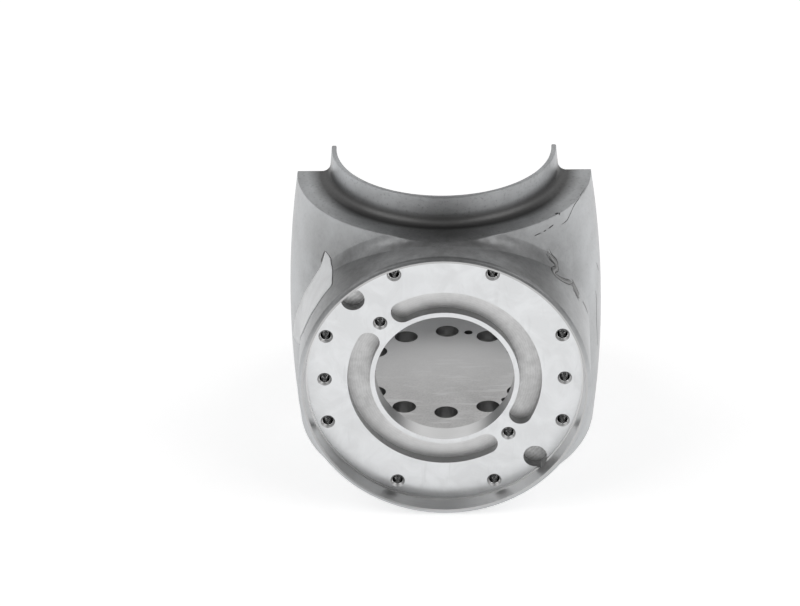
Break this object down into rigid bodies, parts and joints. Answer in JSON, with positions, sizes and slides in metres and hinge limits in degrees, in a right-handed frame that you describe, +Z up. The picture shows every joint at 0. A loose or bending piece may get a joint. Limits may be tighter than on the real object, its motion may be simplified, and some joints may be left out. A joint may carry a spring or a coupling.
{
  "type": "robot joint housing",
  "caption": "Cast aluminium robot joint housing with a round bolted flange, a flanged neck at a right angle to it and an inner screw plate.",
  "frame": {"origin": "centre of the base face, on the joint axis at the mouth of the spigot bore", "axes": "+Z up along the joint axis towards the neck, -Y out of the round flange, +Y towards the rear opening"},
  "size_m": [0.145, 0.1575, 0.147],
  "materials": {
    "cast_aluminium": "as-cast satin with machined faces"
  },
  "bodies": {
    "root": {"housing": "cast_aluminium"}
  },
  "joints": []
}
